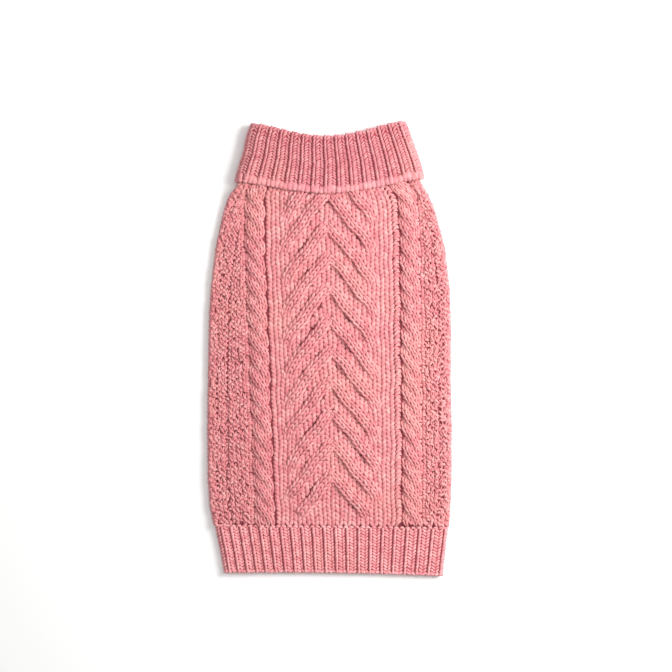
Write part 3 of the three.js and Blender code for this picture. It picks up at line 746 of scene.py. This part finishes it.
belly_right, belly_left = Yarn(sides=5), Yarn(sides=5)
column, y = [g.ravel() for g in np.meshgrid(
    np.arange(BELLY_WALES), np.arange(HEM_Y_RIGHT + 2.0, NECK_Y, BELLY_COURSE), indexing="ij")]
y = settle(belly_chart(column, y, 0, 0, 0)[:, 0], y)
spot = belly_chart(column, y, 0, 0, 0)
keep = (y > hem_top(spot[:, 0]) + 1.2) & ~in_leg_opening(spot, LEG_CLEAR)
keep &= (spot[:, 2] < PANEL_WALL + NECK_LIFT) | (y < collar_edge_y(1, spot[:, 0]) + 2)
for yarn, part in ((belly_right, column < BELLY_WALES / 2), (belly_left, column >= BELLY_WALES / 2)):
    pick = keep & part
    wale = belly_width(y[pick]) / BELLY_WALES
    edge = (column[pick] == 0) | (column[pick] == BELLY_WALES - 1)
    for half in (-1, 1):
        moss_stitch(yarn, belly_chart, column[pick][edge] + 0.25 * half,
                    y[pick][edge] + half * MOSS_COURSE / 4, wale[edge] / 2, 0.2)
    knit(yarn, belly_chart, column[pick][~edge], y[pick][~edge], wale[~edge], BELLY_COURSE, 1.4, LEG_THICK)
swing = np.arange(LEG_EDGE_STITCHES) * 2 * math.pi / LEG_EDGE_STITCHES


def leg_edge(side):
    def chart(column, along, da, dl, dh):
        a = along + da / LEG_HALF_LENGTH
        x = side * LEG_X + (LEG_HALF_WIDTH + LEG_EDGE_OUT + dl) * np.cos(a)
        y = LEG_Y + (LEG_HALF_LENGTH + LEG_EDGE_OUT + dl) * np.sin(a)
        return np.stack(np.broadcast_arrays(x, y, LEG_EDGE_HEIGHT - dh * 0.4), -1)
    return chart


for yarn, side in ((belly_right, 1), (belly_left, -1)):
    bars(yarn, leg_edge(side), swing * 0, swing, 4.2, 3.0, 0.3, 1.3, fat=0.42)
print("legs in the belly, right and left:", belly_right.tubes(), belly_left.tubes())

# %% [markdown]
# ## Ribs
# A two-by-two rib has two knit columns standing up and two purl columns sunk out of sight.
# Each rib's left column turns into the groove, so from above one sees a smooth cord, a line
# of small holes, then a column of flat wide Vs and a dark groove. Narrow ribs hide the last leg.

# %% Ribs
# The cord at a rib's left, the dark groove between ribs, and the height of one row in each band.
CORD_WIDTH = 2.4
GROOVE_WIDTH = 0.8
COURSE_HEM, COURSE_COLLAR = 2.33, 2.23


def rib_edges(ribs, spread, under_ribs, cap_ribs):
    """The start and end place of every rib round a band."""
    even = np.arange(ribs + 1) / ribs
    lines = [even * (1 - spread + spread * even), 1 + np.arange(cap_ribs + 1) / cap_ribs,
             2 + np.arange(under_ribs + 1) / under_ribs, 3 + np.arange(cap_ribs + 1) / cap_ribs]
    return [(a, b) for line in lines for a, b in zip(line[:-1], line[1:])]


def rib_stitches(yarn, chart, edges, steps, flat, cap, course, upward, late=0):
    """flat holds the width of the band's flat top at each step; late leaves out first Vs."""
    nominal = flat.mean()
    for start, end in edges:
        on_flat = int(start) % 2 == 0
        rib = (end - start) * (nominal if on_flat else cap)
        scale = flat / nominal if on_flat else 1.0 + 0 * flat
        rest = rib - CORD_WIDTH - GROOVE_WIDTH
        wide = min(2.4 + 0.28 * (rest - 3.1), rest * 0.8)
        narrow = rest - wide
        sunk = 0.1 + 0.8 * (1 - min(narrow / 2.4, 1))
        table = {
            "left edge": [0, CORD_WIDTH, CORD_WIDTH + wide],
            "width": [CORD_WIDTH, wide, narrow],
            "sweep": [0.3 * upward, -0.95, 1.0],
            "sink": [0.55, 1.15, 1.45 + sunk],
            "half width": [0.47 * CORD_WIDTH, 1.0, 0.92],
            "course": [0.9 * course, 0.84 * course, 0.84 * course],
        }
        for left, width, sweep, sink, half, tall in zip(*table.values()):
            middle = GROOVE_WIDTH / 2 + left + width / 2
            place = np.full(len(steps), mix(start, end, middle / rib))
            pick = slice(late if sweep > 0.5 else 0, None)
            legs(yarn, chart, place[pick], steps[pick], 0.0, sweep * width * scale[pick], tall, sink,
                 half * scale[pick], 1.0, upward)


# %% Hem band
# Ribs across the top, how much they widen from left to right, and the band's height.
HEM_RIBS, HEM_SPREAD, HEM_LENGTH = 20, 0.17, 36.0
EDGE_LOOPS, EDGE_SIDE_LOOPS, JOIN_LOOPS = 46, 3, 40


def hem_chart(place, share, da, dl, dh):
    return on_hem(place, da, share - dl / HEM_LENGTH, dh)


hem = Yarn(sides=5)
hem_steps = np.arange(2.1, HEM_LENGTH - 0.4, COURSE_HEM) / HEM_LENGTH
level = mix(HEM_Y_LEFT, LOWER_Y_LEFT, hem_steps)
hem_flat, hem_cap = lengths(body_at(level, "left"), body_at(level, "right"), 0, BODY_DEPTH)
rib_stitches(hem, hem_chart, rib_edges(HEM_RIBS, HEM_SPREAD, 20, 1), hem_steps, hem_flat, hem_cap,
             COURSE_HEM, upward=1)
loops = np.concatenate([turn + (np.arange(n) + 0.5) / n
                        for turn, n in enumerate((EDGE_LOOPS, EDGE_SIDE_LOOPS) * 2)])
bars(hem, hem_chart, loops, loops * 0 + 0.965, 3.5, 2.4, 1.2, 0.9, bow=-0.8, fat=0.42)
join = (np.arange(JOIN_LOOPS) + 0.5) / JOIN_LOOPS
joins = np.concatenate([join, 1 + join[::13], 2 + join, 3 + join[::13]])
bars(hem, hem_chart, joins, joins * 0 + 0.012, 3.7, 2.6, 1.1, 1.0, bow=0.9, fat=0.42)
print("legs and bars in the hem:", hem.tubes())

# %% Folded collar
COLLAR_RIBS, COLLAR_LENGTH = 13, 45.0
# The ribs begin this share of the way up from the free edge, above the cast-off border.
BORDER_T = 0.128
# Where a rib's three border loops lie, their half widths and depths, and their height in mm.
LOOP_PLACES = np.array([0.14, 0.46, 0.80])
LOOP_HALF_WIDTHS = np.array([2.3, 2.9, 2.7])
LOOP_DEPTHS = np.array([0.8, 0.95, 1.0])
LOOP_HEIGHT, LOOP_T = 3.9, 0.074


def collar_chart(place, t, da, dl, dh):
    return on_collar(place, da, t + dl / COLLAR_LENGTH, dh)


collar = Yarn(sides=5)
collar_steps = np.arange(BORDER_T * COLLAR_LENGTH, COLLAR_LENGTH * 1.22, COURSE_COLLAR) / COLLAR_LENGTH
fall = np.clip(1 - collar_steps * (1 - FALL_AT_FOLD), FALL_AT_FOLD, 1)
collar_flat, collar_cap = lengths(collar_at(fall, "left"), collar_at(fall, "right"), 0, COLLAR_DEPTH)
collar_edges = rib_edges(COLLAR_RIBS, 0.0, COLLAR_RIBS, 2)
rib_stitches(collar, collar_chart, collar_edges, collar_steps, collar_flat, collar_cap, COURSE_COLLAR,
             upward=-1, late=1)
# The cast-off border: tall plump loops side by side, bent under at the free edge. The ribs
# fade out in it, so each rib has a narrow loop under its cord and two wide ones.
starts = np.array([edge for edge in collar_edges if int(edge[0]) % 2 == 0])
casts = mix(starts[:, :1], starts[:, 1:], LOOP_PLACES + rng.normal(0, 0.03, (len(starts), 3))).ravel()
half_widths = np.tile(LOOP_HALF_WIDTHS, len(starts)) * rng.uniform(0.9, 1.1, len(casts))
depths = np.tile(LOOP_DEPTHS, len(starts)) + rng.normal(0, 0.05, len(casts))
legs(collar, collar_chart, casts, LOOP_T + rng.normal(0, 0.009, len(casts)), 0.0, 0.5, LOOP_HEIGHT,
     depths, half_widths, 1.1, -1, taper=FULL)
caps = np.concatenate([1 + join[::8], 3 + join[::8]])
legs(collar, collar_chart, caps, caps * 0 + 0.078, 0.0, 0.5, LOOP_HEIGHT, 0.9, 2.2, 1.1, -1, taper=FULL)
casts = np.concatenate([casts, caps])
bars(collar, collar_chart, casts, casts * 0 + 0.03, 4.2, 2.9, 1.15, 1.1, bow=-0.3, fat=0.5)
print("legs and bars in the collar:", collar.tubes())

# %% [markdown]
# ## The ground cloth
# Under the loops lies the body of the knit, a closed thin shell on the CAD's form. It is what
# shows, in shadow, through the small holes between stitches; its colour is painted shade, far darker than the
# yarn.

# %% Ground cloth shells
def shell(name, outer, inner, closed, keep=None):
    """A closed wall between two matching grids of points; keep is False for cells left open."""
    rows, cols = outer.shape[:2]
    grid = np.arange(rows * cols).reshape(rows, cols)
    wrap = np.concatenate([grid, grid[:, :1]], 1) if closed else grid
    quad = np.stack([wrap[:-1, :-1], wrap[1:, :-1], wrap[1:, 1:], wrap[:-1, 1:]], -1)
    quad = quad.reshape(-1, 4) if keep is None else quad[keep]
    edges = np.concatenate([quad[:, [i, (i + 1) % 4]] for i in range(4)])
    _, first, uses = np.unique(np.sort(edges, 1), axis=0, return_index=True, return_counts=True)
    start, end = edges[first[uses == 1]].T
    below = rows * cols
    rim = np.stack([end, start, start + below, end + below], -1)
    used, faces = np.unique(np.concatenate([quad, quad[:, ::-1] + below, rim]), return_inverse=True)
    points = np.concatenate([outer.reshape(-1, 3), inner.reshape(-1, 3)])[used]
    made = bpy.data.meshes.new(name)
    made.from_pydata(((points + SHIFT) * METRES).tolist(), [], faces.reshape(-1, 4).tolist())
    made.shade_smooth()
    cloth = bpy.data.objects.new(name, made)
    bpy.context.scene.collection.objects.link(cloth)
    print(f"{name}: {len(points)} points, {len(made.polygons)} four-sided faces")
    return cloth


def round_places(top, side, under):
    """Places right round a tube, with so many cells over each of its four parts."""
    parts = [np.linspace(i, i + 1, n + 1)[:-1] for i, n in enumerate((top, side, under, side))]
    return np.concatenate(parts)[None]


# The ground cloth's depth under each CAD surface, and the rim it leaves round a leg opening.
GROUND, HEM_GROUND, COLLAR_GROUND = 2.15, 1.75, 1.85
LEG_RIM = 0.7


def back_relief(x, y):
    """The ground cloth swells a little under the arms and the ropes."""
    offset, _, across = chevron_offset(x, y)
    arm = np.where(np.abs(offset) < CHEVRON_BAND / 2, np.cos(math.pi * offset / CHEVRON_BAND), 0)
    arm = 0.6 * CHEVRON_HEIGHT * arm * ease((CHEVRON_REACH - across) / 6)
    arm = arm * ease((y - hem_top(x) - ARM_LOWEST) / 8)
    rope = 0
    for line in ("leftRope", "rightRope"):
        across = np.clip(np.abs(x - body_at(y, line)) / ROPE_HALF, 0, 1)
        rope = rope + 0.8 * (1 - across ** 2) * ease((y - hem_top(x)) / 6)
    cover = ease((collar_edge_y(1, x) - y - 1) / 3)
    return (arm + rope) * cover


def back_shell():
    level = np.linspace(NECK_Y, HEM_Y_LEFT, 120)[:, None]
    t = np.linspace(0, 1, 66)[None]
    x = mix(seam_left(level) + SEAM_GAP / 2, seam_right(level) - SEAM_GAP / 2, t)
    share = (NECK_Y - level) / (NECK_Y - HEM_Y_LEFT)
    y = mix(NECK_Y, hem_top(x) + SEAM_GAP, share)
    return on_back(x, y, back_relief(x, y) - GROUND), on_back(x, y, -PANEL_WALL + 0 * x)


def belly_shell():
    level = np.linspace(NECK_Y, HEM_Y_LEFT, 110)[:, None]
    t = np.concatenate([np.linspace(0, 0.065, 12)[:-1], np.linspace(0.065, 0.935, 54)[:-1],
                        np.linspace(0.935, 1, 12)])[None]
    s = t * belly_width(level)
    outer, inner = on_belly(s, level, -GROUND + 0 * t), on_belly(s, level, -PANEL_WALL + 0.02 + 0 * t)
    for face in (outer, inner):
        share = (NECK_Y - level) / (NECK_Y - HEM_Y_LEFT)
        face[..., 1] = mix(NECK_Y, hem_top(face[..., 0]) + SEAM_GAP, share)
    middle = (outer[:-1, :-1] + outer[1:, :-1] + outer[:-1, 1:] + outer[1:, 1:]) / 4
    keep = ~in_leg_opening(middle, LEG_RIM)
    # The cells' ragged edge round each opening is pulled onto the oval.
    beside_hole, beside_cloth = np.zeros(outer.shape[:2], bool), np.zeros(outer.shape[:2], bool)
    for i, j in ((0, 0), (0, 1), (1, 0), (1, 1)):
        beside_hole[i:i + keep.shape[0], j:j + keep.shape[1]] |= ~keep
        beside_cloth[i:i + keep.shape[0], j:j + keep.shape[1]] |= keep
    ragged = beside_hole & beside_cloth
    for face in (outer, inner):
        x, y = face[ragged, 0], face[ragged, 1]
        centre = np.sign(x) * LEG_X
        radius = np.hypot((x - centre) / (LEG_HALF_WIDTH + LEG_RIM),
                          (y - LEG_Y) / (LEG_HALF_LENGTH + LEG_RIM))
        face[ragged, 0], face[ragged, 1] = centre + (x - centre) / radius, LEG_Y + (y - LEG_Y) / radius
    return outer, inner, keep


def hem_shell():
    share = np.linspace(0, 1, 12)[:, None]
    place = round_places(160, 12, 40)
    return on_hem(place, 0, share, -HEM_GROUND), on_hem(place, 0, share, -RIB_WALL)


def collar_shell():
    outside, fold, inside = np.linspace(0, 1, 16), np.linspace(1, 2, 12), np.linspace(2, 2.95, 6)
    t = np.concatenate([outside, fold[1:], inside[1:]])[:, None]
    place = round_places(79, 16, 40)
    return on_collar(place, 0, t, -COLLAR_GROUND), on_collar(place, 0, t, -2.65)


back_cloth = shell("back_ground_cloth", *back_shell(), closed=False)
outer, inner, keep = belly_shell()
belly_cloth = shell("belly_ground_cloth", outer, inner, closed=False, keep=keep)
hem_cloth = shell("hem_ground_cloth", *hem_shell(), closed=True)
collar_cloth = shell("collar_ground_cloth", *collar_shell(), closed=True)

# %% [markdown]
# ## Materials
# The yarn is a heathered pink acrylic. Pale and deep fibres are carded together before
# spinning, so the colour wanders along each strand. Its fibres scatter light softly, so it is
# matt, with a faint velvet sheen at grazing angles.

# %% Material helpers
def linear(code):
    """An sRGB hex colour as linear values."""
    parts = [int(code[i:i + 2], 16) / 255 for i in (1, 3, 5)]
    return [p / 12.92 if p <= 0.04045 else ((p + 0.055) / 1.055) ** 2.4 for p in parts] + [1.0]


class Maker:
    """Adds nodes to one material, with their settings and their links."""

    def __init__(self, name):
        self.material = bpy.data.materials.new(name)
        self.material.use_nodes = True
        self.tree = self.material.node_tree
        self.tree.nodes.clear()

    def add(self, kind, inputs=None, **settings):
        node = self.tree.nodes.new(kind)
        for key, value in settings.items():
            setattr(node, key, value)
        for key, value in (inputs or {}).items():
            if isinstance(value, bpy.types.NodeSocket):
                self.tree.links.new(value, node.inputs[key])
            else:
                node.inputs[key].default_value = value
        return node


def yarn_material(name, deep, middle, pale, fleck):
    """Heathered acrylic yarn, spun from dyed fibres and softly brushed."""
    m = Maker(name)
    place = m.add("ShaderNodeTexCoord").outputs["Object"]
    strand = m.add("ShaderNodeAttribute", attribute_name="strand").outputs["Vector"]
    tint = m.add("ShaderNodeAttribute", attribute_name="tint").outputs["Fac"]
    # Heather: patches a few millimetres across, where one dye lot of fibre wins over another.
    heather = m.add("ShaderNodeTexNoise", {"Vector": place, "Scale": 210.0, "Detail": 3.0}).outputs["Fac"]
    broad = m.add("ShaderNodeTexNoise", {"Vector": place, "Scale": 28.0, "Detail": 2.0}).outputs["Fac"]
    sum_one = m.add("ShaderNodeMath", {0: heather, 1: 0.62}, operation="MULTIPLY").outputs[0]
    sum_two = m.add("ShaderNodeMath", {0: tint, 1: 0.22, 2: sum_one}, operation="MULTIPLY_ADD").outputs[0]
    blend = m.add("ShaderNodeMath", {0: broad, 1: 0.22, 2: sum_two}, operation="MULTIPLY_ADD").outputs[0]
    ramp = m.add("ShaderNodeValToRGB", {"Fac": blend})
    ramp.color_ramp.elements[0].position, ramp.color_ramp.elements[0].color = 0.38, linear(deep)
    ramp.color_ramp.elements[1].position, ramp.color_ramp.elements[1].color = 0.72, linear(pale)
    ramp.color_ramp.elements.new(0.52).color = linear(middle)
    # Fibre streaks run along the yarn, fine across it and long along it.
    stretch = m.add("ShaderNodeVectorMath", {0: strand, 1: (0.5, 2.2, 2.2)}, operation="MULTIPLY").outputs[0]
    fibre = m.add("ShaderNodeTexNoise", {"Vector": stretch, "Scale": 2.2, "Detail": 4.0}).outputs["Fac"]
    speck = m.add("ShaderNodeMapRange", {"Value": fibre, "From Min": 0.56, "From Max": 0.74, "To Max": 0.4})
    colour = m.add("ShaderNodeMix", {"Factor": speck.outputs[0], "A": ramp.outputs[0], "B": linear(fleck)},
                   data_type="RGBA").outputs["Result"]
    # The dye leans to peach in places a few centimetres wide.
    warmth = m.add("ShaderNodeTexNoise", {"Vector": place, "Scale": 22.0, "Detail": 3.0}).outputs["Fac"]
    lean = m.add("ShaderNodeMapRange", {"Value": warmth, "From Min": 0.48, "From Max": 0.66, "To Max": 0.22})
    colour = m.add("ShaderNodeMix", {"Factor": lean.outputs[0], "A": colour, "B": linear("#E29C90")},
                   data_type="RGBA").outputs["Result"]
    # Three plies twist round each other, one turn in about six millimetres.
    split = m.add("ShaderNodeSeparateXYZ", {0: strand})
    angle = m.add("ShaderNodeMath", {0: split.outputs["Z"], 1: split.outputs["Y"]},
                  operation="ARCTAN2").outputs[0]
    thrice = m.add("ShaderNodeMath", {0: angle, 1: 3.0}, operation="MULTIPLY").outputs[0]
    wind = m.add("ShaderNodeMath", {0: split.outputs["X"], 1: 2.4, 2: thrice},
                 operation="MULTIPLY_ADD").outputs[0]
    ply = m.add("ShaderNodeMath", {0: wind}, operation="SINE").outputs[0]
    height = m.add("ShaderNodeMath", {0: ply, 1: 0.35, 2: fibre}, operation="MULTIPLY_ADD").outputs[0]
    bump = m.add("ShaderNodeBump", {"Height": height, "Strength": 0.5, "Distance": 0.0003}).outputs[0]
    shader = m.add("ShaderNodeBsdfPrincipled", {
        "Base Color": colour, "Normal": bump, "Roughness": 0.85, "IOR": 1.5,
        "Sheen Weight": 0.35, "Sheen Roughness": 0.45, "Sheen Tint": linear("#FFD9D6")}).outputs[0]
    m.add("ShaderNodeOutputMaterial", {"Surface": shader})
    return m.material


def painted_shade_ground_material(name, colour):
    """The inner loops of the knit, rough and without shine, in a colour darkened as painted shade."""
    m = Maker(name)
    place = m.add("ShaderNodeTexCoord").outputs["Object"]
    fuzz = m.add("ShaderNodeTexNoise", {"Vector": place, "Scale": 900.0, "Detail": 2.0}).outputs["Fac"]
    bump = m.add("ShaderNodeBump", {"Height": fuzz, "Strength": 0.6, "Distance": 0.0004}).outputs[0]
    shader = m.add("ShaderNodeBsdfPrincipled", {
        "Base Color": linear(colour), "Normal": bump, "Roughness": 0.95, "IOR": 1.45}).outputs[0]
    m.add("ShaderNodeOutputMaterial", {"Surface": shader})
    return m.material


# %% Pieces and their materials
# One dye for all. The stretched hem's copy of it is painted paler, as painted light, and the
# drawn-in collar's copy is painted deeper, as painted shade.
body_yarn = yarn_material("Heathered pink acrylic yarn", "#CC767C", "#D8878B", "#E29F9E", "#D5A89C")
hem_yarn_painted_paler = yarn_material("Heathered pink acrylic yarn, painted paler for the hem rib",
                         "#DA838A", "#E5969A", "#EEABAC", "#DFB3A8")
rib_yarn_painted_deeper = yarn_material("Heathered pink acrylic yarn, rib tension",
                         "#C7717A", "#D18188", "#DB9597", "#C89C94")
# The ground cloths' colours are painted shade between the stitches, deepest under the cabled back.
ground = painted_shade_ground_material("Inner loops of pink acrylic knit, painted in shade", "#B2535E")
back_ground = painted_shade_ground_material("Inner loops of the cabled back, in deep shade", "#93404B")

pieces = {
    "back_plain_stitches": (plain, "cable_knit_yarn", body_yarn, back_cloth),
    "back_chevron_cables": (arms, "cable_knit_yarn", body_yarn, back_cloth),
    "back_rope_cables": (ropes, "cable_knit_yarn", body_yarn, back_cloth),
    "back_moss_and_seams": (moss, "cable_knit_yarn", body_yarn, back_cloth),
    "belly_stitches_right": (belly_right, "plain_knit_yarn", body_yarn, belly_cloth),
    "belly_stitches_left": (belly_left, "plain_knit_yarn", body_yarn, belly_cloth),
    "hem_rib_stitches": (hem, "rib_knit_yarn", hem_yarn_painted_paler, hem_cloth),
    "collar_rib_stitches": (collar, "rib_knit_yarn", rib_yarn_painted_deeper, collar_cloth),
}
laid_on = {}
for name, (yarn, slot, material, cloth) in pieces.items():
    piece = yarn.mesh(name)
    piece.data.materials.append(material)
    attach(piece, "root")
    laid_on.setdefault(cloth.name, []).append(piece)

grounds = {
    "back_ground_cloth": (back_cloth, "back_panel", "cable_knit_yarn"),
    "belly_ground_cloth": (belly_cloth, "belly_panel", "plain_knit_yarn"),
    "hem_ground_cloth": (hem_cloth, "hem_rib", "rib_knit_yarn"),
    "collar_ground_cloth": (collar_cloth, "folded_collar", "rib_knit_yarn"),
}
for cloth, node, slot in grounds.values():
    cloth.data.materials.append(back_ground if cloth is back_cloth else ground)
    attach(cloth, "root")
    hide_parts(node)
print("materials:", sorted(material.name for material in bpy.data.materials))

# %% [markdown]
# ## The pieces on each ground cloth
# How many yarn pieces lie on each ground cloth.

# %% Pieces on each ground cloth
print("pieces laid on each ground cloth:", {name: len(laid) for name, laid in laid_on.items()})

# %% [markdown]
# ## Surface, light and camera
# The sweater lies on white. One broad soft light stands to the right, so the left side falls
# into a gentle shade, and the camera looks straight down from well above with a long lens.

# %% Floor, light and camera
scene = bpy.context.scene
scene.view_settings.view_transform = "Standard"
floor_mesh = bpy.data.meshes.new("floor")
floor_mesh.from_pydata([(-4, -4, 0), (4, -4, 0), (4, 4, 0), (-4, 4, 0)], [], [(0, 1, 2, 3)])
floor = bpy.data.objects.new("floor", floor_mesh)
scene.collection.objects.link(floor)
paper = Maker("Matt white paper")
paper.add("ShaderNodeOutputMaterial", {"Surface": paper.add("ShaderNodeBsdfPrincipled", {
    "Base Color": linear("#FBFBFA"), "Roughness": 0.9}).outputs[0]})
floor_mesh.materials.append(paper.material)


def area_light(name, place, size, power):
    """A round lamp that faces the garment; place and size in metres, power in watts."""
    lamp = bpy.data.lights.new(name, "AREA")
    lamp.shape, lamp.size, lamp.energy = "DISK", size, power
    lamp_object = bpy.data.objects.new(name, lamp)
    scene.collection.objects.link(lamp_object)
    lamp_object.location = place
    lamp_object.rotation_euler = (-Vector(place)).to_track_quat("-Z", "Y").to_euler()
    print(f"{name}: {power} W, {Vector(place).length:.2f} m away")


area_light("soft key", (0.5, 0.16, 0.46), 0.47, 7.0)
area_light("top fill", (0.2, 0.3, 2.2), 1.6, 16)
world = bpy.data.worlds.new("soft room")
scene.world = world
world.use_nodes = True
background = world.node_tree.nodes["Background"]
background.inputs["Color"].default_value = (1, 1, 1, 1)
background.inputs["Strength"].default_value = 0.38

# The picture's side and the garment's origin in it, in pixels, and the scale that the knitting gives.
PHOTO_SIDE = 672
ORIGIN_PIXEL = (329.0, 349.0)
MM_PER_PIXEL = 0.75
# The camera's height and the height at which its scale is true, in metres, and its sensor in mm.
CAMERA_HEIGHT, TRUE_HEIGHT = 1.6, 0.007
SENSOR = 36.0
camera_data = bpy.data.cameras.new("camera")
camera = bpy.data.objects.new("camera", camera_data)
scene.collection.objects.link(camera)
camera_data.sensor_width = SENSOR
camera_data.lens = SENSOR * (CAMERA_HEIGHT - TRUE_HEIGHT) / (PHOTO_SIDE * MM_PER_PIXEL * METRES)
camera.location = (
    ((PHOTO_SIDE / 2 - ORIGIN_PIXEL[0]) * MM_PER_PIXEL + SHIFT[0]) * METRES,
    ((ORIGIN_PIXEL[1] - PHOTO_SIDE / 2) * MM_PER_PIXEL + SHIFT[1]) * METRES,
    CAMERA_HEIGHT,
)
scene.camera = camera
